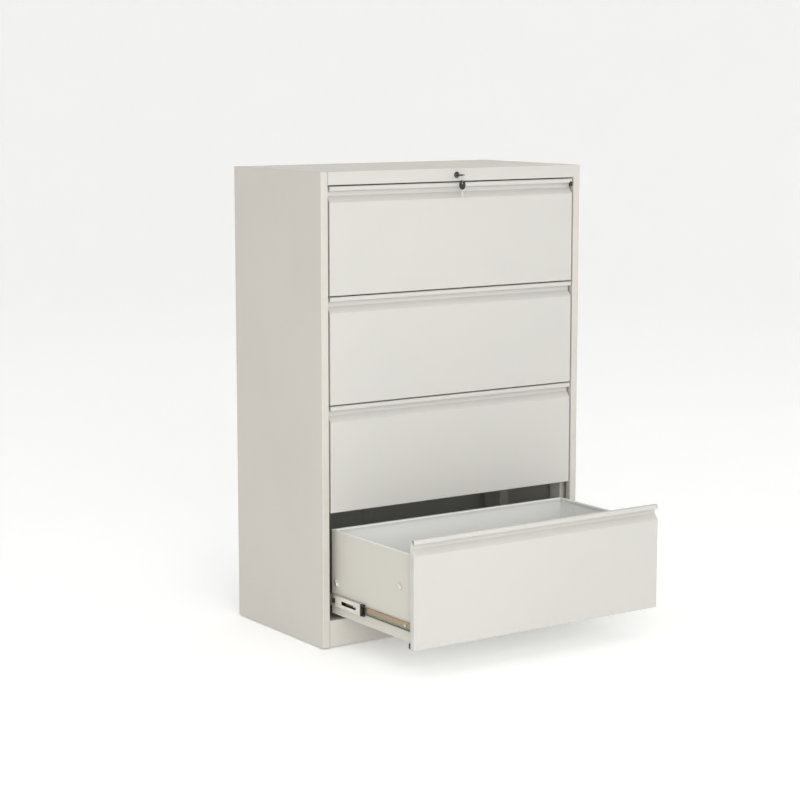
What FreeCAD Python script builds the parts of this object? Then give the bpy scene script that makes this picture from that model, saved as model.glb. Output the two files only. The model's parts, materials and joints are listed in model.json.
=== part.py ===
"""A four-drawer lateral filing cabinet in folded, painted sheet steel.

Sizes are in millimetres. X runs across the front, Y from the front to the back and Z up. The origin is on
the floor under the middle of the carcass. The three upper drawers are shut and the bottom one is drawn out
to its stop, with the key in the lock.
"""

import FreeCAD
import Part
import math
import os

# Carcass
carcass_width = 900.0
carcass_depth = 470.0
panel_sheet = 1.2
bend_radius = 1.5
floor_gap = 4.0
plinth_height = 76.5
plinth_return = 20.0
plinth_hem = 15.0
header_height = 36.5
header_return = 18.0
stile_width = 23.0
stile_return = 20.0
rear_flange = 18.0
floor_flange = 52.0
rib_width = 26.0
rib_depth = 6.0
rib_end_margin = 30.0

# Uprights that carry the slides
front_post_setback = 40.0
front_post_depth = 50.0
rear_post_setback = 46.0
rear_post_depth = 84.0

# Levelling feet
foot_radius = 16.0
foot_stud_radius = 4.0
foot_stud_length = 38.0
foot_running_clearance = 0.05
foot_top_gap = 0.3
foot_from_side = 26.0
foot_from_end = 45.0
foot_collar_wall = 3.0
foot_collar_height = 8.0

# Drawer fronts
drawer_count = 4
open_drawer = 4
drawer_travel = 405.0
drawer_front_height = 299.5
drawer_gap = 3.0
front_side_gap = 5.0
front_sheet = 1.2
front_edge_radius = 2.2
front_bottom_lip = 12.0
lip_height = 13.0
lip_radius = 3.5
lip_hem = 6.5
neck_depth = 15.0
neck_height = 13.5
slant_rise = 18.0
liner_drop = 8.0
liner_hem = 9.0

# Drawer boxes
box_sheet = 1.0
box_inset = 14.0
box_bottom_step = 13.5
box_side_height = 240.0
box_rear_clearance = 46.0
box_hem_width = 8.0
box_hem_drop = 6.0
box_floor_flange = 14.0
lap_length = 62.0
lap_rise = 60.0
lap_top_gap = 4.0
bead_width = 12.0
bead_height = 2.0
bead_count = 3
bead_end_margin = 40.0
dimple_length = 28.0
dimple_width = 11.0
dimple_height = 2.0
dimple_tilt = 52.0
front_dimple_back = 84.0
front_dimple_rise = 145.0
rear_dimple_margin = 26.0
rear_dimple_rise = 90.0

# Telescopic slides
slide_thickness = 12.7
slide_setback = 24.0
slide_rise = 42.5
slide_sheet = 1.2
slide_play = 1.0
slide_outer_height = 45.7
slide_outer_reach = 10.5
slide_mid_height = 33.4
slide_mid_reach = 7.5
slide_mid_recess = 40.0
slide_mid_margin = 8.0
slide_inner_height = 22.5
slide_inner_reach = 5.0
slide_slot_length = 63.0
slide_slot_height = 11.0
slide_slot_setback = 26.0
latch_setback = 126.0
latch_length = 13.0
latch_height = 14.0
latch_shank_margin = 1.5
latch_proud = 0.7
latch_play = 0.1
cage_length = 120.0
cage_width = 5.0
cage_clearance = 0.3
cage_cap_length = 7.0
prong_length = 9.0
prong_height = 4.0
prong_margin = 0.5
prong_width = 6.0
nose_length = 14.0
nose_clearance = 0.4
rivet_radius = 2.0
rivet_head_radius = 3.8
rivet_head_height = 1.2
rivet_clearance = 0.1
rivet_front_margin = 35.0
rivet_rear_margin = 22.0
rivet_pair_spacing = 96.0

# Lock
lock_offset = 3.0
lock_rise = 18.0
barrel_radius = 8.0
barrel_length = 21.0
barrel_flange_radius = 9.0
barrel_flange = 1.6
barrel_hole_clearance = 0.1
plug_radius = 5.5
plug_head_radius = 7.0
plug_head_wall = 0.2
plug_proud = 0.5
plug_tail = 2.0
plug_clearance = 0.05
spigot_width = 6.0
cam_sheet = 2.0
cam_hub_radius = 7.5
cam_arm_radius = 4.0
cam_throw = 10.0
cam_rest_angle = 45.0
cam_pin_radius = 1.5

# Bars that the lock moves
rod_sheet = 2.0
rod_play = 0.3
rod_above_lock = 2.5
rod_below_top = 1.8
rod_slot_side_play = 0.5
rod_slot_end_play = 1.2
rod_end_width = 31.0
rod_end_margin = 6.0
bar_sheet = 3.0
bar_width = 14.0
bar_from_side = 4.8
bar_tail = 20.0
bar_head_margin = 8.0
bar_pin_radius = 2.0
bar_pin_inset = 20.0
hook_height = 10.0
hook_gap = 4.0
hook_reach = 6.0
lug_rise = 200.0
lug_height = 10.0
lug_sheet = 3.0
lug_reach = 11.0
lug_play = 1.5
guide_sheet = 3.0
guide_play = 0.3
guide_wall = 3.5
guide_rise = 120.0
rod_guide_spacing = 150.0
rod_guide_count = 2

# Keys
keyway_width = 7.8
keyway_height = 2.6
keyway_depth = 20.0
key_play = 0.3
key_tip_gap = 2.0
key_neck = 4.5
key_notch_count = 4
key_notch_depth = 1.4
key_notch_width = 2.2
bow_width = 20.0
bow_length = 22.5
bow_sheet = 4.0
bow_corner = 7.0
bow_edge = 0.8
bow_bridge = 3.0
bow_slot_width = 5.0
bow_slot_length = 10.5

# Clip on the top drawer's lip
clip_width = 8.5
clip_side_margin = 0.8
clip_wall = 1.6
clip_front_height = 4.0
clip_drop = 9.5
clip_depth = 4.5

# Levels and planes worked out from the sizes above
half_width = carcass_width / 2
half_depth = carcass_depth / 2
front_y = -half_depth
back_y = half_depth
back_inner_y = back_y - 2 * panel_sheet
skin_x = half_width - panel_sheet
stile_x = half_width - stile_width
base_top = floor_gap + plinth_height
drawer_pitch = drawer_front_height + drawer_gap
header_bottom = base_top + drawer_gap + drawer_count * drawer_pitch
carcass_height = header_bottom + header_height
top_underside = carcass_height - panel_sheet
front_half = stile_x - front_side_gap
front_depth = neck_depth + front_sheet
face_top = drawer_front_height - lip_height - neck_height - slant_rise
neck_bottom = face_top + slant_rise
box_half = front_half - box_inset
box_inner = box_half - box_sheet
box_start = front_depth + box_sheet
drawer_length = carcass_depth - box_rear_clearance
post_face = box_half + slide_thickness
slide_length = drawer_length - slide_setback
slide_mid_length = slide_length - slide_mid_recess - slide_mid_margin
slide_mid_face = post_face - slide_sheet - slide_play
lock_x = lock_offset
lock_z = header_bottom + lock_rise
cam_front_y = front_y + barrel_length + plug_tail
rod_front_y = cam_front_y + cam_sheet + rod_play
bar_front_y = rod_front_y + rod_sheet + rod_play
lug_front_y = bar_front_y + bar_sheet + lug_play
rod_bottom = lock_z + rod_above_lock
rod_top = top_underside - rod_below_top
rod_stroke = 2 * cam_throw * math.sin(math.radians(cam_rest_angle))
bar_outer_x = skin_x - bar_from_side
bar_inner_x = bar_outer_x - bar_width
bar_pin_x = bar_outer_x - bar_pin_inset
bar_pin_z = rod_top - rod_end_margin - bar_pin_radius - rod_stroke
plug_face_y = front_y - barrel_flange - plug_proud
bow_front_y = plug_face_y - key_neck
bow_end_y = bow_front_y - bow_length


def vector(x, y, z):
    return FreeCAD.Vector(x, y, z)


def block(x_range, y_range, z_range):
    """A box between three pairs of limits, given in either order."""
    low = vector(min(x_range), min(y_range), min(z_range))
    high = vector(max(x_range), max(y_range), max(z_range))
    size = high - low
    return Part.makeBox(size.x, size.y, size.z, low)


def plan_view(u, v):
    return vector(u, v, 0)


def side_view(u, v):
    return vector(0, u, v)


def front_view(u, v):
    return vector(u, 0, v)


def unit(start, end):
    length = math.hypot(end[0] - start[0], end[1] - start[1])
    return ((end[0] - start[0]) / length, (end[1] - start[1]) / length)


def rounded_outline(points, radii, view):
    """A closed face through the points, each corner rounded by its own radius."""
    edges = []
    joints = []
    count = len(points)
    for index in range(count):
        before = unit(points[index - 1], points[index])
        after = unit(points[index], points[(index + 1) % count])
        corner = points[index]
        cross = before[0] * after[1] - before[1] * after[0]
        dot = before[0] * after[0] + before[1] * after[1]
        half_turn = abs(math.atan2(cross, dot)) / 2
        reach = radii[index] * math.tan(half_turn)
        start = (corner[0] - before[0] * reach, corner[1] - before[1] * reach)
        end = (corner[0] + after[0] * reach, corner[1] + after[1] * reach)
        if reach > 0:
            inward = unit((0, 0), (after[0] - before[0], after[1] - before[1]))
            depth = radii[index] / math.cos(half_turn) - radii[index]
            middle = (corner[0] + inward[0] * depth, corner[1] + inward[1] * depth)
        else:
            middle = None
        joints.append((start, middle, end))
    for index in range(count):
        start, middle, end = joints[index]
        if middle is not None:
            edges.append(Part.Arc(view(*start), view(*middle), view(*end)).toShape())
        following = joints[(index + 1) % count][0]
        if math.dist(end, following) > 1e-6:
            edges.append(Part.LineSegment(view(*end), view(*following)).toShape())
    return Part.Face(Part.Wire(edges))


def folded_sheet(path, sheet, radii, view):
    """A sheet bent along a path, which is its left face: the sheet lies on the right of the path."""
    offset = []
    path_radii = [0.0]
    offset_radii = [0.0]
    last = len(path) - 1
    for index, point in enumerate(path):
        before = unit(path[max(index - 1, 0)], path[max(index, 1)])
        after = unit(path[min(index, last - 1)], path[min(index + 1, last)])
        before_right = (before[1], -before[0])
        after_right = (after[1], -after[0])
        share = 1 + before_right[0] * after_right[0] + before_right[1] * after_right[1]
        offset.append((
            point[0] + (before_right[0] + after_right[0]) * sheet / share,
            point[1] + (before_right[1] + after_right[1]) * sheet / share,
        ))
        if 0 < index < last:
            turns_left = before[0] * after[1] - before[1] * after[0] > 0
            inner = radii[index - 1]
            path_radii.append(inner if turns_left else inner + sheet)
            offset_radii.append(inner + sheet if turns_left else inner)
    path_radii.append(0.0)
    offset_radii.append(0.0)
    outline = list(path) + offset[::-1]
    return rounded_outline(outline, path_radii + offset_radii[::-1], view)


def same(radius, count):
    return [radius] * count


def extrude_x(face, x_range):
    face.translate(vector(min(x_range), 0, 0))
    return face.extrude(vector(max(x_range) - min(x_range), 0, 0))


def extrude_y(face, y_range):
    face.translate(vector(0, min(y_range), 0))
    return face.extrude(vector(0, max(y_range) - min(y_range), 0))


def extrude_z(face, z_range):
    face.translate(vector(0, 0, min(z_range)))
    return face.extrude(vector(0, 0, max(z_range) - min(z_range)))


def pin_y(radius, x, z, y_range):
    """A round bar along Y."""
    start = vector(x, min(y_range), z)
    return Part.makeCylinder(radius, max(y_range) - min(y_range), start, vector(0, 1, 0))


def pin_x(radius, y, z, x_range):
    start = vector(min(x_range), y, z)
    return Part.makeCylinder(radius, max(x_range) - min(x_range), start, vector(1, 0, 0))


def pin_z(radius, x, y, z_range):
    start = vector(x, y, min(z_range))
    return Part.makeCylinder(radius, max(z_range) - min(z_range), start, vector(0, 0, 1))


def joined(shapes):
    return shapes[0].fuse(shapes[1:]).removeSplitter()


def mirrored(shape):
    return shape.mirror(vector(0, 0, 0), vector(1, 0, 0))


def both_sides(shapes):
    """The solids given, for the right side, and their mirror images for the left."""
    return shapes + [mirrored(shape) for shape in shapes]


def front_bottom(drawer):
    """Height of the lower edge of a drawer's front, with drawer 1 at the top."""
    return base_top + drawer_gap + (drawer_count - drawer) * drawer_pitch


def box_bottom(drawer):
    return front_bottom(drawer) + box_bottom_step


def slide_centre(drawer):
    return box_bottom(drawer) + slide_rise


def drawn_out(shape, drawer, share=1.0):
    """Moves a piece forward with its drawer, by the share of the travel that it makes."""
    if drawer == open_drawer:
        shape.translate(vector(0, -drawer_travel * share, 0))
    return shape


def foot_places():
    x = half_width - foot_from_side
    y = half_depth - foot_from_end
    return [(x, -y), (x, y)]


# Carcass


def right_side_panel():
    path = [
        (half_width - rear_flange, back_y),
        (half_width, back_y),
        (half_width, front_y),
        (stile_x, front_y),
        (stile_x, front_y + stile_return),
    ]
    face = folded_sheet(path, panel_sheet, same(bend_radius, 3), plan_view)
    wall = extrude_z(face, (floor_gap, top_underside))
    flange = block(
        (half_width - floor_flange, skin_x),
        (front_y + stile_return, back_inner_y),
        (floor_gap, floor_gap + panel_sheet),
    )
    panel = joined([wall, flange] + [foot_collar(x, y) for x, y in foot_places()])
    for x, y in foot_places():
        panel = panel.cut(foot_hole(x, y))
    return panel


def foot_collar(x, y):
    radius = foot_stud_radius + foot_collar_wall
    return pin_z(radius, x, y, (floor_gap, floor_gap + foot_collar_height))


def foot_hole(x, y):
    radius = foot_stud_radius + foot_running_clearance
    return pin_z(radius, x, y, (0, floor_gap + foot_collar_height + panel_sheet))


def top_panel():
    return block((-half_width, half_width), (front_y, back_y), (top_underside, carcass_height))


def back_panel():
    """The back sheet, with one hollow rib pressed forward on its centre line."""
    outer_y = back_y - panel_sheet
    half = skin_x - bend_radius
    sheet = block((-half, half), (back_inner_y, outer_y), (floor_gap, top_underside))
    foot = rib_width / 2
    crest = foot - rib_depth
    path = [(foot, outer_y), (foot, back_inner_y), (crest, back_inner_y - rib_depth)]
    path += [(-crest, back_inner_y - rib_depth), (-foot, back_inner_y), (-foot, outer_y)]
    rib_range = (base_top + rib_end_margin, top_underside - rib_end_margin)
    hollow = block((-foot, foot), (back_inner_y, outer_y), rib_range)
    pieces = [sheet.cut(hollow)]
    pieces.append(extrude_z(folded_sheet(path, panel_sheet, same(bend_radius, 4), plan_view), rib_range))
    for low in (rib_range[0], rib_range[1] - panel_sheet):
        cap = rounded_outline(path, same(0.0, len(path)), plan_view)
        pieces.append(extrude_z(cap, (low, low + panel_sheet)))
    return joined(pieces)


def header_rail():
    path = [
        (front_y + header_return, header_bottom),
        (front_y, header_bottom),
        (front_y, top_underside),
    ]
    face = folded_sheet(path, panel_sheet, [bend_radius], side_view)
    rail = extrude_x(face, (-stile_x, stile_x))
    hole = pin_y(
        barrel_radius + barrel_hole_clearance, lock_x, lock_z, (front_y - 1, front_y + header_return)
    )
    return rail.cut(hole)


def plinth():
    path = [
        (front_y + plinth_hem, floor_gap),
        (front_y, floor_gap),
        (front_y, base_top),
        (front_y + plinth_return, base_top),
    ]
    face = folded_sheet(path, panel_sheet, same(bend_radius, 2), side_view)
    return extrude_x(face, (-stile_x, stile_x))


def base_panel():
    return block(
        (-skin_x, skin_x),
        (front_y + plinth_return, back_inner_y),
        (base_top - panel_sheet, base_top),
    )


def right_post(y_start, depth):
    """A channel upright whose web faces the drawers."""
    path = [
        (skin_x, y_start),
        (post_face, y_start),
        (post_face, y_start + depth),
        (skin_x, y_start + depth),
    ]
    face = folded_sheet(path, panel_sheet, same(bend_radius, 2), plan_view)
    return extrude_z(face, (base_top, top_underside))


def right_posts():
    front = right_post(front_y + front_post_setback, front_post_depth)
    rear = right_post(back_inner_y - rear_post_setback - rear_post_depth, rear_post_depth)
    return [front, rear]


def levelling_feet():
    """Four feet: a flat pad that almost touches the floor flange, and its threaded stud."""
    pad_top = floor_gap - foot_top_gap
    feet = []
    for x, y in foot_places():
        pad = pin_z(foot_radius, x, y, (0, pad_top))
        stud = pin_z(foot_stud_radius, x, y, (pad_top, pad_top + foot_stud_length))
        feet.append(joined([pad, stud]))
    return both_sides(feet)


# Drawer fronts


def drawer_front(drawer):
    """The front skin: a shallow tray with a slanted neck and a lip that folds forward over it."""
    height = drawer_front_height
    path = [
        (front_depth, front_bottom_lip),
        (front_depth, 0),
        (0, 0),
        (0, face_top),
        (neck_depth, neck_bottom),
        (neck_depth, height - front_sheet),
        (front_sheet, height - front_sheet),
        (front_sheet, height - lip_height + front_sheet),
        (front_sheet + lip_hem, height - lip_height + front_sheet),
    ]
    radii = same(bend_radius, 5) + [lip_radius, bend_radius]
    skin = extrude_x(folded_sheet(path, front_sheet, radii, side_view), (-front_half, front_half))
    cheek = [(0, 0), (front_depth, 0), (front_depth, neck_bottom), (neck_depth, neck_bottom)]
    cheek.append((0, face_top))
    bend = bend_radius + front_sheet
    cheek_radii = [bend, 0, 0, 0, bend]
    cheeks = []
    for outer in (front_half, -front_half):
        inner = outer - math.copysign(front_sheet, outer)
        face = rounded_outline(cheek, cheek_radii, side_view)
        cheeks.append(extrude_x(face, (inner, outer)))
    outline = [
        (-front_half, 0),
        (front_half, 0),
        (front_half, front_depth),
        (-front_half, front_depth),
    ]
    edge_radii = [front_edge_radius, front_edge_radius, 0, 0]
    softened = extrude_z(rounded_outline(outline, edge_radii, plan_view), (0, height))
    front = joined([skin] + cheeks).common(softened)
    front.translate(vector(0, front_y, front_bottom(drawer)))
    return drawn_out(front, drawer)


def drawer_liner(drawer):
    """The inner front sheet, spot-welded to the back of the neck, with a hem along its top."""
    bottom = front_bottom(drawer)
    top = bottom + drawer_front_height - liner_drop
    face_y = front_y + front_depth
    sheet = block((-front_half, front_half), (face_y, face_y + box_sheet), (bottom, top))
    hem = block(
        (-box_half, box_half),
        (face_y + box_sheet, face_y + 2 * box_sheet),
        (top - liner_hem, top),
    )
    return drawn_out(joined([sheet, hem]), drawer)


# Drawer boxes


def dimple(y, z):
    """A raised slanting oval pressed out of the right side of a drawer."""
    straight = dimple_length - dimple_width
    radius = dimple_width / 2
    reach = (box_half - box_sheet / 2, box_half + dimple_height)
    low = pin_x(radius, -straight / 2, 0, reach)
    high = pin_x(radius, straight / 2, 0, reach)
    middle = block(reach, (-straight / 2, straight / 2), (-radius, radius))
    oval = joined([low, high, middle])
    rim = [edge for edge in oval.Edges if edge.BoundBox.XMin > box_half + dimple_height / 2]
    oval = oval.makeFillet(dimple_height * 0.6, rim)
    oval.rotate(vector(0, 0, 0), vector(1, 0, 0), dimple_tilt)
    oval.translate(vector(0, y, z))
    return oval


def rivet_places():
    """Distances of the rivets behind the front plane of the drawer."""
    first = slide_setback + rivet_front_margin
    last = slide_setback + slide_length - rivet_rear_margin
    return [first, last - rivet_pair_spacing, last]


def drawer_side(drawer):
    """The right side: a wall with a floor flange and a folded hem, both turned inwards."""
    bottom = box_bottom(drawer)
    top = bottom + box_side_height
    path = [
        (box_half - box_hem_width, top - box_hem_drop),
        (box_half - box_hem_width, top),
        (box_half, top),
        (box_half, bottom),
        (box_half - box_floor_flange, bottom),
    ]
    face = folded_sheet(path, box_sheet, same(bend_radius, 3), front_view)
    y_range = (front_y + box_start, front_y + drawer_length - box_sheet)
    wall = extrude_y(face, y_range)
    front_mark = dimple(front_y + front_dimple_back, bottom + front_dimple_rise)
    rear_mark = dimple(
        front_y + drawer_length - rear_dimple_margin, bottom + rear_dimple_rise
    )
    side = joined([wall, front_mark, rear_mark])
    for place in rivet_places():
        side = side.cut(rivet_hole(front_y + place, slide_centre(drawer)))
    return side


def rivet_hole(y, z):
    reach = (box_inner - box_sheet, box_half + slide_sheet + box_sheet)
    return pin_x(rivet_radius + rivet_clearance, y, z, reach)


def lock_lug(drawer):
    """The tab welded to the right side that the lock bar's hook stops."""
    low = front_bottom(drawer) + lug_rise
    return block(
        (box_half, box_half + lug_reach),
        (lug_front_y, lug_front_y + lug_sheet),
        (low, low + lug_height),
    )


def drawer_back(drawer):
    """The back: a wall with a folded hem, and a lap at each end that lies inside the side."""
    bottom = box_bottom(drawer)
    top = bottom + box_side_height
    outer_y = front_y + drawer_length
    wall = block((-box_half, box_half), (outer_y - box_sheet, outer_y), (bottom, top))
    path = [
        (outer_y - box_hem_width, top - box_hem_drop),
        (outer_y - box_hem_width, top),
        (outer_y - box_sheet, top),
    ]
    hem_face = folded_sheet(path, box_sheet, [bend_radius], side_view)
    hem_half = box_half - box_hem_width
    pieces = [wall, extrude_x(hem_face, (-hem_half, hem_half))]
    for outer in (box_inner, -box_inner):
        inner = outer - math.copysign(box_sheet, outer)
        y_range = (outer_y - lap_length, outer_y - box_sheet / 2)
        pieces.append(block((inner, outer), y_range, (bottom + lap_rise, top - lap_top_gap)))
    return drawn_out(joined(pieces), drawer)


def drawer_bottom(drawer):
    """The floor of the drawer on the side flanges, with long beads that stiffen it."""
    low = box_bottom(drawer) + box_sheet
    y_start = front_y + box_start
    y_end = front_y + drawer_length - box_sheet
    half = box_inner - bend_radius
    sheet = block((-half, half), (y_start, y_end), (low, low + box_sheet))
    spacing = 2 * half / (bead_count + 1)
    pieces = [sheet]
    for index in range(bead_count):
        centre = spacing * (index + 1) - half
        pieces.append(block(
            (centre - bead_width / 2, centre + bead_width / 2),
            (y_start + bead_end_margin, y_end - bead_end_margin),
            (low, low + box_sheet + bead_height),
        ))
    return drawn_out(joined(pieces), drawer)


# Slides


def slide_channel(face_x, reach, height, centre, y_range, opens_inwards):
    """One member of a slide: a channel of the given height, open towards or away from the drawer."""
    low = centre - height / 2
    high = centre + height / 2
    if opens_inwards:
        path = [(face_x - reach, high), (face_x, high), (face_x, low), (face_x - reach, low)]
    else:
        path = [(face_x + reach, low), (face_x, low), (face_x, high), (face_x + reach, high)]
    bend = slide_sheet / 2
    face = folded_sheet(path, slide_sheet, same(bend, 2), front_view)
    return extrude_y(face, y_range)


def slide_outer(drawer):
    start = front_y + slide_setback
    y_range = (start, start + slide_length)
    return slide_channel(
        post_face, slide_outer_reach, slide_outer_height, slide_centre(drawer), y_range, True
    )


def mid_range():
    start = front_y + slide_setback + slide_mid_recess
    return (start, start + slide_mid_length)


def slide_mid(drawer):
    """The middle member, with a long slot in its web near each end and a hole for the latch."""
    centre = slide_centre(drawer)
    start, end = mid_range()
    member = slide_channel(
        slide_mid_face, slide_mid_reach, slide_mid_height, centre, (start, end), True
    )
    web = (slide_mid_face - 2 * slide_sheet, slide_mid_face + slide_sheet)
    half = slide_slot_height / 2
    for low, high in (
        (start + slide_slot_setback, start + slide_slot_setback + slide_slot_length),
        (end - slide_slot_setback - slide_slot_length, end - slide_slot_setback),
    ):
        slot = joined([
            block(web, (low, high), (centre - half, centre + half)),
            pin_x(half, low, centre, web),
            pin_x(half, high, centre, web),
        ])
        member = member.cut(slot)
    return member.cut(latch_block(drawer, latch_shank_margin - latch_play, web))


def latch_block(drawer, margin, x_range):
    """A block at the place of the plastic latch in the middle member's web, smaller by a margin."""
    centre = slide_centre(drawer)
    front = mid_range()[0] + latch_setback
    return block(
        x_range,
        (front + margin, front + latch_length - margin),
        (centre - latch_height / 2 + margin, centre + latch_height / 2 - margin),
    )


def slide_latch(drawer):
    """The plastic latch: a head on the outer face of the middle member's web and a shank through it."""
    outer_face = slide_mid_face + latch_proud
    head = latch_block(drawer, 0, (slide_mid_face, outer_face))
    shank = latch_block(drawer, latch_shank_margin, (slide_mid_face - slide_sheet, outer_face))
    return joined([head, shank])


def slide_inner(drawer):
    """The inner member and the rivets that hold it to the drawer's side."""
    centre = slide_centre(drawer)
    start = front_y + slide_setback
    member = slide_channel(
        box_half, slide_inner_reach, slide_inner_height, centre, (start, start + slide_length), False
    )
    rivets = []
    for place in rivet_places():
        member = member.cut(rivet_hole(front_y + place, centre))
        rivets.append(rivet(front_y + place, centre))
    return [member] + rivets


def rivet(y, z):
    outer_face = box_half + slide_sheet
    shank = pin_x(rivet_radius, y, z, (box_inner, outer_face))
    outer = pin_x(rivet_head_radius, y, z, (outer_face, outer_face + rivet_head_height))
    inner = pin_x(rivet_head_radius, y, z, (box_inner - rivet_head_height, box_inner))
    rim = [edge for edge in outer.Edges if edge.BoundBox.XMin > outer_face + rivet_head_height / 2]
    outer = outer.makeFillet(rivet_head_height * 0.6, rim)
    return joined([shank, outer, inner])


def inner_cage(drawer):
    """The ball retainer between the inner and middle members, with a pronged cap at its front end."""
    centre = slide_centre(drawer)
    start = mid_range()[0]
    inner_edge = slide_inner_height / 2 + cage_clearance
    outer_edge = slide_mid_height / 2 - slide_sheet
    near = box_half + slide_inner_reach - cage_width / 2
    strip_x = (near, near + cage_width)
    strip_y = (start, start + cage_length)
    upper = block(strip_x, strip_y, (centre + inner_edge, centre + outer_edge))
    lower = block(strip_x, strip_y, (centre - outer_edge, centre - inner_edge))
    cap_edge = slide_mid_height / 2
    cap_y = (start - cage_cap_length, start)
    cap = block((near, slide_mid_face), cap_y, (centre - cap_edge, centre + cap_edge))
    room_x = (near - cage_width, box_half + slide_inner_reach + cage_clearance)
    room = block(room_x, cap_y, (centre - inner_edge, centre + inner_edge))
    prong_x = (slide_mid_face - slide_sheet - prong_width, slide_mid_face - slide_sheet)
    prong_y = (cap_y[0] - prong_length, cap_y[0])
    pieces = [upper, lower, cap.cut(room)]
    for outer in (cap_edge - prong_margin, prong_height + prong_margin - cap_edge):
        pieces.append(block(prong_x, prong_y, (centre + outer - prong_height, centre + outer)))
    return joined(pieces)


def slide_noses(drawer):
    """Plastic noses in the front mouth of the outer member, above and below the middle one."""
    centre = slide_centre(drawer)
    start = front_y + slide_setback
    inner_edge = slide_mid_height / 2 + nose_clearance
    outer_edge = slide_outer_height / 2 - slide_sheet
    far = slide_mid_face - slide_sheet
    x_range = (far - cage_width, far)
    y_range = (start, start + nose_length)
    upper = block(x_range, y_range, (centre + inner_edge, centre + outer_edge))
    lower = block(x_range, y_range, (centre - outer_edge, centre - inner_edge))
    return [upper, lower]


def outer_cages(drawer):
    """The two ball retainers between the middle and outer members."""
    centre = slide_centre(drawer)
    end = mid_range()[1]
    inner_edge = slide_mid_height / 2
    outer_edge = slide_outer_height / 2 - slide_sheet - cage_clearance
    far = slide_mid_face - slide_sheet
    strip_x = (far - cage_width, far)
    strip_y = (end - cage_length, end)
    upper = block(strip_x, strip_y, (centre + inner_edge, centre + outer_edge))
    lower = block(strip_x, strip_y, (centre - outer_edge, centre - inner_edge))
    return [upper, lower]


# Lock


def lock_barrel():
    """The fixed barrel, pushed through the header, with a counterbore for the plug's head."""
    flange = pin_y(barrel_flange_radius, lock_x, lock_z, (front_y - barrel_flange, front_y))
    rim = [edge for edge in flange.Edges if edge.BoundBox.YMax < front_y - barrel_flange / 2]
    flange = flange.makeFillet(barrel_flange / 2, rim)
    body = pin_y(barrel_radius, lock_x, lock_z, (front_y, front_y + barrel_length))
    bore = pin_y(
        plug_radius + plug_clearance,
        lock_x,
        lock_z,
        (front_y - barrel_flange, front_y + barrel_length),
    )
    seat = pin_y(
        plug_head_radius + plug_clearance,
        lock_x,
        lock_z,
        (front_y - barrel_flange, front_y - plug_head_wall),
    )
    return joined([flange, body]).cut(bore).cut(seat)


def lock_plug():
    """The plug that the key turns, with a level keyway and a square spigot for the cam."""
    head = pin_y(plug_head_radius, lock_x, lock_z, (plug_face_y, front_y - plug_head_wall))
    body = pin_y(plug_radius, lock_x, lock_z, (front_y - plug_head_wall, cam_front_y))
    half = spigot_width / 2
    spigot = block(
        (lock_x - half, lock_x + half),
        (cam_front_y, cam_front_y + cam_sheet),
        (lock_z - half, lock_z + half),
    )
    keyway = block(
        (lock_x - keyway_width / 2, lock_x + keyway_width / 2),
        (plug_face_y, front_y + keyway_depth),
        (lock_z - keyway_height / 2, lock_z + keyway_height / 2),
    )
    return joined([head, body, spigot]).cut(keyway)


def cam_pin_place():
    angle = math.radians(cam_rest_angle)
    return (lock_x - cam_throw * math.sin(angle), lock_z + cam_throw * math.cos(angle))


def lock_cam():
    """The cam on the plug's spigot, and the pin that pushes the rod."""
    pin_place_x, pin_place_z = cam_pin_place()
    y_range = (cam_front_y, cam_front_y + cam_sheet)
    hub = pin_y(cam_hub_radius, lock_x, lock_z, y_range)
    arm = pin_y(cam_arm_radius, pin_place_x, pin_place_z, y_range)
    pin = pin_y(cam_pin_radius, pin_place_x, pin_place_z, (cam_front_y, bar_front_y))
    half = spigot_width / 2
    square = block((lock_x - half, lock_x + half), y_range, (lock_z - half, lock_z + half))
    return joined([hub, arm, pin]).cut(square)


def slot_along(start, end, radius, y_range):
    """A slot from one point of the XZ plane to another, cut along Y."""
    direction = unit(start, end)
    side = (-direction[1] * radius, direction[0] * radius)
    corners = [
        (start[0] + side[0], start[1] + side[1]),
        (end[0] + side[0], end[1] + side[1]),
        (end[0] - side[0], end[1] - side[1]),
        (start[0] - side[0], start[1] - side[1]),
    ]
    middle = extrude_y(rounded_outline(corners, same(0.0, 4), front_view), y_range)
    ends = [pin_y(radius, place[0], place[1], y_range) for place in (start, end)]
    return joined([middle] + ends)


def lock_rod():
    """The flat bar behind the header, with an upright slot for the cam and a slanting one for the pin."""
    pin_place_x, pin_place_z = cam_pin_place()
    y_range = (rod_front_y, rod_front_y + rod_sheet)
    end_x = bar_pin_x + bar_pin_radius + rod_end_margin
    start_x = pin_place_x - cam_pin_radius - rod_end_margin
    strip = block((start_x, end_x), y_range, (rod_bottom, rod_top))
    plate_bottom = bar_pin_z - bar_pin_radius - rod_end_margin
    plate = block((end_x - rod_end_width, end_x), y_range, (plate_bottom, rod_top))
    rod = joined([strip, plate])
    cam_slot = slot_along(
        (pin_place_x, pin_place_z - rod_slot_end_play),
        (pin_place_x, lock_z + cam_throw + rod_slot_end_play),
        cam_pin_radius + rod_slot_side_play,
        y_range,
    )
    bar_slot = slot_along(
        (bar_pin_x, bar_pin_z),
        (bar_pin_x - rod_stroke, bar_pin_z + rod_stroke),
        bar_pin_radius + rod_slot_side_play,
        y_range,
    )
    return rod.cut(cam_slot).cut(bar_slot)


def hook_low(drawer):
    return front_bottom(drawer) + lug_rise - hook_gap - hook_height


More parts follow.
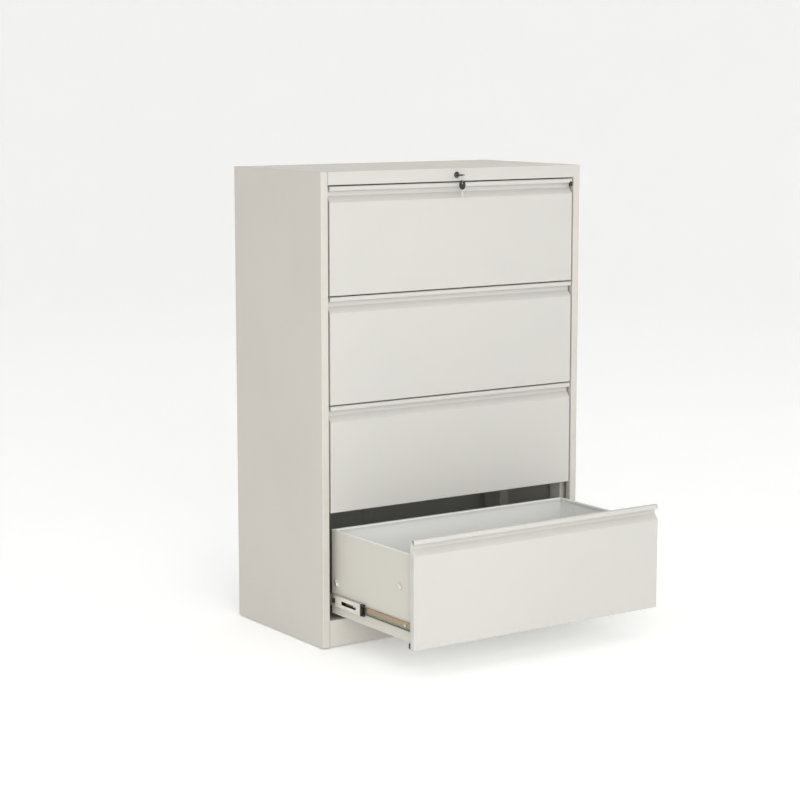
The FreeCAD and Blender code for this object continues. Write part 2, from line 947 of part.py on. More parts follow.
def lock_bar():
    """The upright bar: a strip, a hook for each drawer, and a pin at its head for the rod's slot.

    The hooks, the shoulder and the pin are welded on, face to face.
    """
    y_range = (bar_front_y, bar_front_y + bar_sheet)
    foot = hook_low(drawer_count) - bar_tail
    head = bar_pin_z + bar_head_margin
    strip = block((bar_inner_x, bar_outer_x), y_range, (foot, head))
    shoulder = block(
        (bar_pin_x - bar_pin_radius - bar_sheet, bar_inner_x),
        y_range,
        (bar_pin_z - bar_head_margin, head),
    )
    pin = pin_y(bar_pin_radius, bar_pin_x, bar_pin_z, (rod_front_y, bar_front_y))
    pieces = [strip, shoulder, pin]
    for drawer in range(1, drawer_count + 1):
        low = hook_low(drawer)
        pieces.append(block((box_half + hook_reach, bar_inner_x), y_range, (low, low + hook_height)))
    return pieces


def lock_guides():
    """Slotted brackets: two under the top for the rod, and one for each drawer for the upright bar."""
    guides = []
    for index in range(rod_guide_count):
        x = lock_x + rod_guide_spacing * (index + 1)
        plate = block(
            (x, x + guide_sheet),
            (rod_front_y - guide_wall, rod_front_y + rod_sheet + guide_wall),
            (rod_bottom - guide_wall, top_underside),
        )
        hole = block(
            (x, x + guide_sheet),
            (rod_front_y - guide_play, rod_front_y + rod_sheet + guide_play),
            (rod_bottom - guide_play, rod_top + guide_play),
        )
        guides.append(plate.cut(hole))
    for drawer in range(1, drawer_count + 1):
        low = front_bottom(drawer) + guide_rise
        z_range = (low, low + guide_sheet)
        plate = block(
            (bar_inner_x - guide_wall, skin_x),
            (bar_front_y - guide_wall, bar_front_y + bar_sheet + guide_wall),
            z_range,
        )
        hole = block(
            (bar_inner_x - guide_play, bar_outer_x + guide_play),
            (bar_front_y - guide_play, bar_front_y + bar_sheet + guide_play),
            z_range,
        )
        guides.append(plate.cut(hole))
    return guides


# Keys


def notched(blade, centres, cutter):
    for centre in centres:
        blade = blade.cut(cutter(centre))
    return blade


def notch_centres(start, end):
    step = (end - start) / (key_notch_count + 1)
    return [start + step * (index + 1) for index in range(key_notch_count)]


def key_blade():
    """The blade in the keyway, flat side up, notched along one edge."""
    half_blade = keyway_width / 2 - key_play
    half_sheet = keyway_height / 2 - key_play
    tip = front_y + keyway_depth - key_tip_gap
    z_range = (lock_z - half_sheet, lock_z + half_sheet)
    blade = block((lock_x - half_blade, lock_x + half_blade), (bow_front_y, tip), z_range)
    edge = lock_x + half_blade

    def cutter(centre):
        y_range = (centre - key_notch_width / 2, centre + key_notch_width / 2)
        return block((edge - key_notch_depth, edge), y_range, z_range)

    return notched(blade, notch_centres(front_y, tip), cutter)


def softened_bow(bow):
    """Rounds the long outer edges of a key's head."""
    edges = [edge for edge in bow.Edges if edge.Length > bow_edge]
    return bow.makeFillet(bow_edge, edges)


def key_bow():
    """The head of the key in the lock: level, with a slot near its end for the ring."""
    half = bow_width / 2
    outline = [
        (lock_x - half, bow_end_y),
        (lock_x + half, bow_end_y),
        (lock_x + half, bow_front_y),
        (lock_x - half, bow_front_y),
    ]
    corner = min(bow_corner, half - bow_edge)
    z_range = (lock_z - bow_sheet / 2, lock_z + bow_sheet / 2)
    head = extrude_z(rounded_outline(outline, same(corner, 4), plan_view), z_range)
    slot_half = bow_slot_width / 2
    near = bow_end_y + bow_bridge
    slot = [
        (lock_x - slot_half, near),
        (lock_x + slot_half, near),
        (lock_x + slot_half, near + bow_slot_length),
        (lock_x - slot_half, near + bow_slot_length),
    ]
    opening = extrude_z(rounded_outline(slot, same(slot_half / 2, 4), plan_view), z_range)
    return softened_bow(head).cut(opening)


def lip_clip():
    """A small soft clip over the lower edge of the top drawer's lip, at its right end."""
    lip_low = front_bottom(1) + drawer_front_height - lip_height
    right = front_half - clip_side_margin
    x_range = (right - clip_width, right)
    low = lip_low - clip_drop
    front = block(x_range, (front_y - clip_wall, front_y), (low, lip_low + clip_front_height))
    under = block(x_range, (front_y - clip_wall, front_y + clip_depth), (low, lip_low))
    clip = joined([front, under])
    rim = [edge for edge in clip.Edges if edge.BoundBox.YMax < front_y - clip_wall / 2]
    return clip.makeFillet(clip_wall / 2, rim)


# Assembly


def carcass_parts():
    side = right_side_panel()
    posts = right_posts()
    drawers = range(1, drawer_count + 1)
    outers = [slide_outer(drawer) for drawer in drawers]
    noses = [nose for drawer in drawers for nose in slide_noses(drawer)]
    return {
        "side_panel_left": [mirrored(side)],
        "side_panel_right": [side],
        "top_panel": [top_panel()],
        "back_panel": [back_panel()],
        "header_rail": [header_rail()],
        "plinth": [plinth()],
        "base_panel": [base_panel()],
        "slide_posts_left": [mirrored(post) for post in posts],
        "slide_posts_right": posts,
        "slide_outers_left": [mirrored(outer) for outer in outers],
        "slide_outers_right": outers,
        "slide_noses": both_sides(noses),
        "levelling_feet": levelling_feet(),
    }


def drawer_parts(drawer):
    side = drawer_side(drawer)
    right_side = [drawn_out(shape, drawer) for shape in (side.copy(), lock_lug(drawer))]
    inner = [drawn_out(shape, drawer) for shape in both_sides(slide_inner(drawer))]
    mid = [drawn_out(shape, drawer, 0.5) for shape in both_sides([slide_mid(drawer)])]
    cages = both_sides([inner_cage(drawer), slide_latch(drawer)] + outer_cages(drawer))
    name = f"drawer_{drawer}"
    return {
        f"{name}_front": [drawer_front(drawer)],
        f"{name}_liner": [drawer_liner(drawer)],
        f"{name}_side_left": [drawn_out(mirrored(side), drawer)],
        f"{name}_side_right": right_side,
        f"{name}_back": [drawer_back(drawer)],
        f"{name}_bottom": [drawer_bottom(drawer)],
        f"{name}_slide_inner": inner,
        f"{name}_slide_mid": mid,
        f"{name}_slide_cages": [drawn_out(shape, drawer, 0.5) for shape in cages],
    }


def lock_parts():
    return {
        "lock_barrel": [lock_barrel()],
        "lock_plug": [lock_plug()],
        "lock_cam": [lock_cam()],
        "lock_rod": [lock_rod()],
        "lock_bar": lock_bar(),
        "lock_guides": lock_guides(),
        "key_blade": [key_blade()],
        "key_bow": [key_bow()],
        "lip_clip": [lip_clip()],
    }


def main():
    parts = carcass_parts()
    for drawer in range(1, drawer_count + 1):
        parts.update(drawer_parts(drawer))
    parts.update(lock_parts())
    os.makedirs("parts", exist_ok=True)
    for name, solids in parts.items():
        shape = solids[0] if len(solids) == 1 else Part.makeCompound(solids)
        shape.exportStep(f"parts/{name}.step")


main()
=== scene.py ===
"""A four-drawer lateral filing cabinet in painted sheet steel, dressed and lit in a pale studio.

The cabinet stands square to the X and Y axes with its front towards -Y, and the bottom drawer is drawn out.
All lengths are in metres.
"""

import json
import logging
import math
from collections.abc import Callable, Iterable, Sequence
from dataclasses import dataclass
from enum import Enum

import bpy
from mathutils import Matrix, Vector


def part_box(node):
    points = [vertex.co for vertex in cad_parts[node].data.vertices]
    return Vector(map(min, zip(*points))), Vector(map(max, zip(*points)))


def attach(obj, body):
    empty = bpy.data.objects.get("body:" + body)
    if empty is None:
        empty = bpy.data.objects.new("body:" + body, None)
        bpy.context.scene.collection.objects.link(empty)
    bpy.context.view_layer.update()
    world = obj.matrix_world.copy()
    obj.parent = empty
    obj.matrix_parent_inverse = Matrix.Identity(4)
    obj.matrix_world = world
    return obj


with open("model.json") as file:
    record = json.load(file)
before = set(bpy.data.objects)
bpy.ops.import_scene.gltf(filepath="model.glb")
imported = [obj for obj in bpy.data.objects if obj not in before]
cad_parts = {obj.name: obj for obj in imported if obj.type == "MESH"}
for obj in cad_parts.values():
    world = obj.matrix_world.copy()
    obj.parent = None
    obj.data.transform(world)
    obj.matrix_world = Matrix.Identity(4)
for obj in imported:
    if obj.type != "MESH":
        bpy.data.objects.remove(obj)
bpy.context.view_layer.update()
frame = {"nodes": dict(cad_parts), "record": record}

LOG = logging.getLogger("filing_cabinet")

EDGE_RAMP = (0.01, 0.2)
SMOOTHING_ANGLE = math.radians(35.0)
ROUNDING_ANGLE = math.radians(40.0)
FACING = 0.9

Colour = tuple[float, float, float]


class Axis(Enum):
    """The axis that a slug lies along, as the turn that brings it there from Z with its height along Z."""

    X = (math.pi / 2, 0.0, math.pi / 2)
    Y = (math.pi / 2, 0.0, 0.0)


class Signal:
    """One output socket of a shader tree that can be used in arithmetic."""

    def __init__(self, shader: "Shader", socket: bpy.types.NodeSocket) -> None:
        """Wraps a socket of a shader tree.

        Args:
            shader: The shader that the socket belongs to.
            socket: The output socket.
        """
        self.shader = shader
        self.socket = socket

    def _math(self, operation: str, first: "Value", second: "Value") -> "Signal":
        """Adds a Math node on two values.

        Args:
            operation: The node's operation.
            first: The first value.
            second: The second value.

        Returns:
            The node's result.
        """
        return self.shader.node("ShaderNodeMath", {"operation": operation}, {0: first, 1: second})

    def __add__(self, other: "Value") -> "Signal":
        """The sum of this value and another."""
        return self._math("ADD", self, other)

    def __radd__(self, other: "Value") -> "Signal":
        """The sum of another value and this one."""
        return self._math("ADD", other, self)

    def __sub__(self, other: "Value") -> "Signal":
        """This value less another."""
        return self._math("SUBTRACT", self, other)

    def __rsub__(self, other: "Value") -> "Signal":
        """Another value less this one."""
        return self._math("SUBTRACT", other, self)

    def __mul__(self, other: "Value") -> "Signal":
        """The product of this value and another."""
        return self._math("MULTIPLY", self, other)

    def __rmul__(self, other: "Value") -> "Signal":
        """The product of another value and this one."""
        return self._math("MULTIPLY", other, self)

    def __pow__(self, other: "Value") -> "Signal":
        """This value raised to another."""
        return self._math("POWER", self, other)

    def magnitude(self) -> "Signal":
        """This value without its sign."""
        return self._math("ABSOLUTE", self, 0.0)

    def sine(self) -> "Signal":
        """The sine of this value."""
        return self._math("SINE", self, 0.0)

    def wrapped(self, period: float) -> "Signal":
        """What is left of this value after whole periods are taken away.

        Args:
            period: The length of a period.

        Returns:
            The rest.
        """
        return self._math("MODULO", self, period)

    def ramp(self, start: float, end: float) -> "Signal":
        """This value eased from 0 at start to 1 at end.

        Args:
            start: The value that becomes 0.
            end: The value that becomes 1.

        Returns:
            The eased value.
        """
        settings = {"interpolation_type": "SMOOTHSTEP"}
        return self.shader.node("ShaderNodeMapRange", settings, {0: self, 1: start, 2: end})


Value = float | Colour | Signal


class Shader:
    """The node tree of one material, built from a few kinds of call."""

    def __init__(self, name: str) -> None:
        """Starts an empty material.

        Args:
            name: The material's name.
        """
        self.material = bpy.data.materials.new(name)
        self.material.use_nodes = True
        self.tree = self.material.node_tree
        self.surface = self.tree.nodes["Principled BSDF"]

    def node(
        self,
        kind: str,
        settings: dict[str, object],
        inputs: dict[int | str, Value],
        output: int | str = 0,
    ) -> Signal:
        """Adds a node, with its settings made before its sockets are filled.

        Args:
            kind: The node's type.
            settings: The node's own properties.
            inputs: A value or a signal for each socket, by number or name.
            output: The socket that is wanted, by number or name.

        Returns:
            The wanted output.
        """
        made = self.tree.nodes.new(kind)
        for key, setting in settings.items():
            setattr(made, key, setting)
        for key, value in inputs.items():
            self.fill(made.inputs[key], value)
        return Signal(self, made.outputs[output])

    def fill(self, socket: bpy.types.NodeSocket, value: Value) -> None:
        """Links a signal to a socket, or sets the socket to a number, colour or vector.

        Args:
            socket: The input socket.
            value: What goes into it.
        """
        if isinstance(value, Signal):
            self.tree.links.new(value.socket, socket)
        elif isinstance(value, tuple) and socket.type == "RGBA":
            socket.default_value = (*value, 1.0)
        else:
            socket.default_value = value

    def place(self) -> Signal:
        """The point on the surface, in the object's own coordinates."""
        return self.node("ShaderNodeTexCoord", {}, {}, "Object")

    def part_of(self, vector: Signal, axis: str) -> Signal:
        """One coordinate of a vector.

        Args:
            vector: The vector.
            axis: X, Y or Z.

        Returns:
            The coordinate.
        """
        return self.node("ShaderNodeSeparateXYZ", {}, {0: vector}, axis)

    def scaled(self, vector: Signal, factors: tuple[float, float, float]) -> Signal:
        """A vector with each coordinate multiplied by a factor of its own.

        Args:
            vector: The vector.
            factors: The three factors.

        Returns:
            The scaled vector.
        """
        return self.node("ShaderNodeVectorMath", {"operation": "MULTIPLY"}, {0: vector, 1: factors})

    def noise(self, vector: Signal, scale: float, detail: float = 2.0) -> Signal:
        """Smooth noise between 0 and 1.

        Args:
            vector: Where the noise is read.
            scale: Features per metre.
            detail: How many finer layers are added.

        Returns:
            The noise.
        """
        inputs = {"Vector": vector, "Scale": scale, "Detail": detail}
        return self.node("ShaderNodeTexNoise", {}, inputs, 0)

    def blend(self, factor: Value, first: Value, second: Value) -> Signal:
        """A colour between two others.

        Args:
            factor: 0 for the first colour and 1 for the second.
            first: The first colour.
            second: The second colour.

        Returns:
            The mixed colour.
        """
        return self.node("ShaderNodeMix", {"data_type": "RGBA"}, {0: factor, 6: first, 7: second}, 2)

    def softened_normal(self, radius: float) -> Signal:
        """The surface's normal with its sharp edges eased.

        Args:
            radius: The radius of the easing.

        Returns:
            The normal.
        """
        return self.node("ShaderNodeBevel", {"samples": 6}, {"Radius": radius})

    def edge_mask(self, softened: Signal) -> Signal:
        """1 on sharp edges and 0 on flat faces.

        Args:
            softened: The eased normal.

        Returns:
            The mask.
        """
        true_normal = self.node("ShaderNodeNewGeometry", {}, {}, "True Normal")
        inputs = {0: softened, 1: true_normal}
        likeness = self.node("ShaderNodeVectorMath", {"operation": "DOT_PRODUCT"}, inputs, "Value")
        return (1.0 - likeness).ramp(*EDGE_RAMP)

    def bumped(self, height: Signal, depth: float, normal: Signal) -> Signal:
        """A normal disturbed by a height.

        Args:
            height: The height, between 0 and 1.
            depth: What a height of 1 stands for.
            normal: The normal that is disturbed.

        Returns:
            The new normal.
        """
        return self.node("ShaderNodeBump", {}, {"Distance": depth, "Height": height, "Normal": normal})

    def dress(self, values: dict[str, Value]) -> bpy.types.Material:
        """Fills the sockets of the surface itself.

        Args:
            values: A value or signal for each socket of the surface, by name.

        Returns:
            The finished material.
        """
        for name, value in values.items():
            self.fill(self.surface.inputs[name], value)
        return self.material


@dataclass(frozen=True)
class BakedPaint:
    """Powder paint baked on sheet steel: a soft sheen, a slight orange peel and thinner paint on the edges.

    Attributes:
        tone: The main colour.
        drift: The colour that it drifts towards over a large panel.
        edge: The colour on sharp edges.
        roughness: How matt it is.
        peel: How deep the orange peel is.
        drift_scale: Drifts per metre.
        drift_ramp: The noise values where the drift begins and ends.
        peel_scale: Bumps of the orange peel per metre.
        grain_scale: Specks per metre.
        grain_share: How strong the specks are.
        edge_radius: The radius of sharp edges.
        edge_share: How thin the paint is on them.
        dust: The colour of specks and scuffs.
        scuff_height: How far up the scuffs near the floor reach.
        scuff_share: How strong they are.
        sheen_spread: How much the sheen varies.
        painted_light_outer_tone: The colour of the faces far out to the left and right, or nothing; with
            it, the main tone can be drawn lighter on the faces between them as painted light.
        far_from: The distance from the middle plane where those faces begin.
        far_blur: Half the width of the change to that colour.
    """

    tone: Colour
    drift: Colour
    edge: Colour
    roughness: float = 0.42
    peel: float = 0.00006
    drift_scale: float = 2.6
    drift_ramp: tuple[float, float] = (0.35, 0.65)
    peel_scale: float = 420.0
    grain_scale: float = 1900.0
    grain_share: float = 0.03
    edge_radius: float = 0.0009
    edge_share: float = 0.5
    dust: Colour = (0.60, 0.58, 0.54)
    scuff_height: float = 0.05
    scuff_share: float = 0.35
    sheen_spread: float = 0.1
    painted_light_outer_tone: Colour | None = None
    far_from: float = 0.4075
    far_blur: float = 0.0003

    def material(self, name: str) -> bpy.types.Material:
        """Builds the paint's material.

        Args:
            name: The material's name.

        Returns:
            The material.
        """
        shader = Shader(name)
        place = shader.place()
        drift = shader.noise(place, self.drift_scale, 3.0).ramp(*self.drift_ramp)
        colour = shader.blend(drift, self.tone, self.drift)
        # Painted light: the faces far out to the sides take a second tone, so the faces between them can be
        # drawn lighter than the same paint outside.
        if self.painted_light_outer_tone is not None:
            aside = shader.part_of(place, "X").magnitude()
            painted_light_mask = aside.ramp(self.far_from - self.far_blur, self.far_from + self.far_blur)
            colour = shader.blend(painted_light_mask, colour, self.painted_light_outer_tone)
        grain = shader.noise(place, self.grain_scale, 1.0)
        colour = shader.blend(grain * self.grain_share, colour, self.dust)
        softened = shader.softened_normal(self.edge_radius)
        colour = shader.blend(shader.edge_mask(softened) * self.edge_share, colour, self.edge)
        low = 1.0 - shader.part_of(place, "Z").ramp(0.0, self.scuff_height)
        scuffs = shader.noise(shader.scaled(place, (1.0, 1.0, 3.0)), 40.0, 4.0).ramp(0.5, 0.75)
        colour = shader.blend(low * scuffs * self.scuff_share, colour, self.dust)
        peel = shader.noise(place, self.peel_scale, 2.0)
        sheen = shader.noise(place, self.drift_scale * 5.0, 4.0)
        return shader.dress({
            "Base Color": colour,
            "Roughness": sheen * self.sheen_spread + (self.roughness - self.sheen_spread / 2),
            "Normal": shader.bumped(peel, self.peel, softened),
        })


@dataclass(frozen=True)
class PlatedSteel:
    """Plated steel strip, rolled along Y, whose film of plating drifts between three tones.

    Attributes:
        tone: The main colour.
        cloud: The colour of the large clouds in the plating.
        streak: The colour of the fine streaks along the strip.
        roughness: How matt it is.
        roll_grain: How the grain is stretched along the strip.
        grain_scale: Streaks per metre across the strip.
        streak_share: How strong the streaks are.
        cloud_stretch: How the clouds are stretched.
        cloud_scale: Clouds per metre.
        edge_radius: The radius of sharp edges.
        metallic: How metallic it looks.
        painted_shade_tone: The colour painted on the lowest part of each strip as shade, or nothing.
        painted_shade_band: Heights where that painted shade ends and the main colour begins, over the
            lowest strip's datum.
        pitch: The distance between two strips.
    """

    tone: Colour
    cloud: Colour
    streak: Colour
    roughness: float = 0.34
    roll_grain: tuple[float, float, float] = (1.0, 0.02, 1.0)
    grain_scale: float = 1500.0
    streak_share: float = 0.6
    cloud_stretch: tuple[float, float, float] = (1.0, 0.4, 1.6)
    cloud_scale: float = 24.0
    edge_radius: float = 0.0004
    metallic: float = 0.9
    painted_shade_tone: Colour | None = None
    painted_shade_band: tuple[float, float] = (0.0, 0.0)
    pitch: float = 1.0

    def material(self, name: str) -> bpy.types.Material:
        """Builds the plating's material.

        Args:
            name: The material's name.

        Returns:
            The material.
        """
        shader = Shader(name)
        place = shader.place()
        stretched = shader.scaled(place, self.cloud_stretch)
        clouds = shader.noise(stretched, self.cloud_scale, 3.0).ramp(0.35, 0.7)
        colour = shader.blend(clouds, self.tone, self.cloud)
        # Painted shade: the lowest part of each strip is drawn grey-green, standing in for the shade low on
        # the slide.
        if self.painted_shade_tone is not None:
            height = shader.part_of(place, "Z").wrapped(self.pitch)
            colour = shader.blend(height.ramp(*self.painted_shade_band), self.painted_shade_tone, colour)
        grain = shader.noise(shader.scaled(place, self.roll_grain), self.grain_scale, 3.0)
        colour = shader.blend(grain.ramp(0.45, 0.8) * self.streak_share, colour, self.streak)
        softened = shader.softened_normal(self.edge_radius)
        return shader.dress({
            "Base Color": colour,
            "Metallic": self.metallic,
            "Roughness": grain * 0.22 + clouds * 0.08 + (self.roughness - 0.15),
            "Normal": shader.bumped(grain, 0.00002, softened),
        })


@dataclass(frozen=True)
class TurnedMetal:
    """Dark plated metal turned in a lathe, with fine rings round the lock's axis.

    Attributes:
        tone: The colour of the metal.
        centre: X and Z of the axis.
        ring_spacing: The distance between two rings.
        ring_depth: How deep the rings are.
        bare: The colour of its worn edges.
        bare_share: How worn they are.
        metallic: How metallic it looks.
    """

    tone: Colour
    centre: tuple[float, float]
    ring_spacing: float = 0.0004
    ring_depth: float = 0.000015
    bare: Colour = (0.55, 0.54, 0.50)
    bare_share: float = 0.6
    metallic: float = 0.85

    def material(self, name: str) -> bpy.types.Material:
        """Builds the turned metal's material.

        Args:
            name: The material's name.

        Returns:
            The material.
        """
        shader = Shader(name)
        place = shader.place()
        across = shader.part_of(place, "X") - self.centre[0]
        up = shader.part_of(place, "Z") - self.centre[1]
        radius = (across * across + up * up) ** 0.5
        rings = (radius * (2.0 * math.pi / self.ring_spacing)).sine() * 0.5 + 0.5
        smudge = shader.noise(place, 260.0, 3.0)
        softened = shader.softened_normal(0.0004)
        edge = shader.edge_mask(softened)
        return shader.dress({
            "Base Color": shader.blend(edge * self.bare_share, self.tone, self.bare),
            "Metallic": self.metallic,
            "Roughness": smudge * 0.25 + 0.18,
            "Normal": shader.bumped(rings, self.ring_depth, softened),
        })


@dataclass(frozen=True)
class MouldedPlastic:
    """Moulded plastic or rubber with a fine spark-eroded texture and paler worn edges.

    Attributes:
        tone: The main colour.
        worn: The colour of its worn edges.
        roughness: How matt it is.
        texture_depth: How deep the moulded texture is.
        texture_scale: Bumps of the texture per metre.
        handling_scale: Marks of handling per metre.
        handling_spread: How much handling changes the sheen.
        wear_share: How worn the edges are.
    """

    tone: Colour
    worn: Colour
    roughness: float
    texture_depth: float = 0.00003
    texture_scale: float = 1600.0
    handling_scale: float = 120.0
    handling_spread: float = 0.2
    wear_share: float = 0.6

    def material(self, name: str) -> bpy.types.Material:
        """Builds the plastic's material.

        Args:
            name: The material's name.

        Returns:
            The material.
        """
        shader = Shader(name)
        place = shader.place()
        texture = shader.noise(place, self.texture_scale, 2.0)
        handling = shader.noise(place, self.handling_scale, 3.0)
        softened = shader.softened_normal(0.0005)
        wear = shader.edge_mask(softened) * handling.ramp(0.3, 0.7)
        return shader.dress({
            "Base Color": shader.blend(wear * self.wear_share, self.tone, self.worn),
            "Roughness": handling * self.handling_spread + (self.roughness - self.handling_spread / 2),
            "Normal": shader.bumped(texture, self.texture_depth, softened),
        })


@dataclass(frozen=True)
class StudioFloor:
    """Pale seamless paper that glows a little, as if it were lit from outside the set.

    Attributes:
        tone: The main colour.
        fibre: The colour of its fibres.
        near_glow: The light that it adds by itself near the cabinet; this stronger glow is painted light
            that lifts the cabinet's shadow on the floor.
        far_glow: The light that it adds far away.
        glow_reach: Where the glow begins to fade, and where it has reached its far value.
        roughness: How matt it is.
    """

    tone: Colour = (0.95, 0.95, 0.945)
    fibre: Colour = (0.92, 0.92, 0.915)
    near_glow: Colour = (0.195, 0.195, 0.194)
    far_glow: Colour = (0.16, 0.16, 0.159)
    glow_reach: tuple[float, float] = (0.8, 2.2)
    roughness: float = 0.9

    def material(self, name: str) -> bpy.types.Material:
        """Builds the paper's material.

        Args:
            name: The material's name.

        Returns:
            The material.
        """
        shader = Shader(name)
        place = shader.place()
        fibres = shader.noise(place, 90.0, 4.0)
        across = shader.part_of(place, "X")
        along = shader.part_of(place, "Y")
        radius = (across * across + along * along) ** 0.5
        return shader.dress({
            "Base Color": shader.blend(fibres, self.tone, self.fibre),
            "Roughness": self.roughness,
            # Painted light: the paper glows more near the cabinet, which fills in the shadow that the
            # cabinet casts on it.
            "Emission Color": shader.blend(radius.ramp(*self.glow_reach), self.near_glow, self.far_glow),
            "Emission Strength": 1.0,
        })


class Workbench:
    """The few modelling moves that the added pieces share."""

    @staticmethod
    def clear() -> None:
        """Deselects every object."""
        bpy.ops.object.select_all(action="DESELECT")

    @staticmethod
    def settle(piece: bpy.types.Object, name: str) -> bpy.types.Object:
        """Names a piece and moves its place from the object into its mesh.

        Args:
            piece: The object, which is the active one.
            name: Its name.

        Returns:
            The same object.
        """
        piece.name = name
        piece.data.name = name
        bpy.ops.object.transform_apply(location=True, rotation=True, scale=True)
        return piece

    @classmethod
    def slab(cls, name: str, low: Vector, high: Vector) -> bpy.types.Object:
        """Adds a rectangular block to be shaped.

        Args:
            name: The piece's name.
            low: Its lowest corner.
            high: Its highest corner.

        Returns:
            The block, selected and active.
        """
        cls.clear()
        bpy.ops.mesh.primitive_cube_add(size=1.0, location=(low + high) / 2)
        piece = bpy.context.object
        piece.scale = high - low
        return cls.settle(piece, name)

    @classmethod
    def oval(
        cls, name: str, centre: Vector, size: Vector, along: Axis, tilt: float = 0.0
    ) -> bpy.types.Object:
        """Adds an oval slug along X or Y to be shaped.

        Args:
            name: The piece's name.
            centre: Its middle.
            size: Its width, its height and its depth along the axis.
            along: The axis that it lies along.
            tilt: How far it is turned about its own axis, in radians.

        Returns:
            The slug, selected and active.
        """
        cls.clear()
        bpy.ops.mesh.primitive_cylinder_add(vertices=32, radius=0.5, depth=1.0)
        piece = bpy.context.object
        piece.scale = size
        bpy.ops.object.transform_apply(location=False, rotation=False, scale=True)
        piece.rotation_euler = (0.0, 0.0, tilt)
        bpy.ops.object.transform_apply(location=False, rotation=True, scale=False)
        piece.rotation_euler = along.value
        piece.location = centre
        return cls.settle(piece, name)

    @staticmethod
    def pick(piece: bpy.types.Object, wanted: Callable[[bpy.types.MeshPolygon], bool]) -> None:
        """Selects the faces that pass a test and goes into edit mode.

        Args:
            piece: The piece whose faces are picked.
            wanted: Says of each face whether it is wanted.
        """
        bpy.context.tool_settings.mesh_select_mode = (False, False, True)
        for vertex in piece.data.vertices:
            vertex.select = False
        for edge in piece.data.edges:
            edge.select = False
        for face in piece.data.polygons:
            face.select = wanted(face)
        bpy.ops.object.mode_set(mode="EDIT")

    @staticmethod
    def done() -> None:
        """Leaves edit mode."""
        bpy.ops.object.mode_set(mode="OBJECT")

    @classmethod
    def round_edges(cls, piece: bpy.types.Object, width: float, segments: int = 3) -> None:
        """Rounds a piece's sharp edges with an applied Bevel modifier.

        Args:
            piece: The piece, which is made active.
            width: The width of the rounding.
            segments: How many faces each rounding has.
        """
        cls.clear()
        piece.select_set(True)
        bpy.context.view_layer.objects.active = piece
        bevel = piece.modifiers.new("rounding", "BEVEL")
        bevel.width = width
        bevel.segments = segments
        bevel.limit_method = "ANGLE"
        bevel.angle_limit = ROUNDING_ANGLE
        bpy.ops.object.modifier_apply(modifier=bevel.name)
        bpy.ops.object.shade_smooth_by_angle(angle=SMOOTHING_ANGLE)

    @classmethod
    def punched(cls, piece: bpy.types.Object, punch: bpy.types.Object) -> None:
        """Cuts one piece out of another and removes the cutter.

        Args:
            piece: The piece that is cut.
            punch: The cutter.
        """
        cut = piece.modifiers.new("punch", "BOOLEAN")
        cut.operation = "DIFFERENCE"
        cut.object = punch
        bpy.context.view_layer.objects.active = piece
        bpy.ops.object.modifier_apply(modifier=cut.name)
        bpy.data.objects.remove(punch, do_unlink=True)

    @classmethod
    def copy_moved(cls, piece: bpy.types.Object, shift: Vector) -> bpy.types.Object:
        """Copies a piece, mesh and all, to another place.

        Args:
            piece: The piece to copy.
            shift: How far the copy is moved.

        Returns:
            The copy.
        """
        copy = piece.copy()
        copy.data = piece.data.copy()
        copy.data.transform(Matrix.Translation(shift))
        bpy.context.scene.collection.objects.link(copy)
        return copy

    @classmethod
    def copy_mirrored(cls, piece: bpy.types.Object) -> bpy.types.Object:
        """Copies a piece to the other side of the cabinet, and turns its faces outwards again.

        Args:
            piece: The piece to copy.

        Returns:
            The mirrored copy.
        """
        copy = cls.copy_moved(piece, Vector((0.0, 0.0, 0.0)))
        copy.data.transform(Matrix.Scale(-1.0, 4, Vector((1.0, 0.0, 0.0))))
        cls.clear()
        copy.select_set(True)
        bpy.context.view_layer.objects.active = copy
        cls.pick(copy, lambda face: True)
        bpy.ops.mesh.normals_make_consistent(inside=False)
        cls.done()
        return copy

    @classmethod
    def joined(cls, pieces: Sequence[bpy.types.Object], name: str) -> bpy.types.Object:
        """Joins pieces into one object.

        Args:
            pieces: The pieces, of which the first one stays.
            name: The joined piece's name.

        Returns:
            The joined piece.
        """
        cls.clear()
        for piece in pieces:
            piece.select_set(True)
        bpy.context.view_layer.objects.active = pieces[0]
        bpy.ops.object.join()
        pieces[0].name = name
        pieces[0].data.name = name
        return pieces[0]


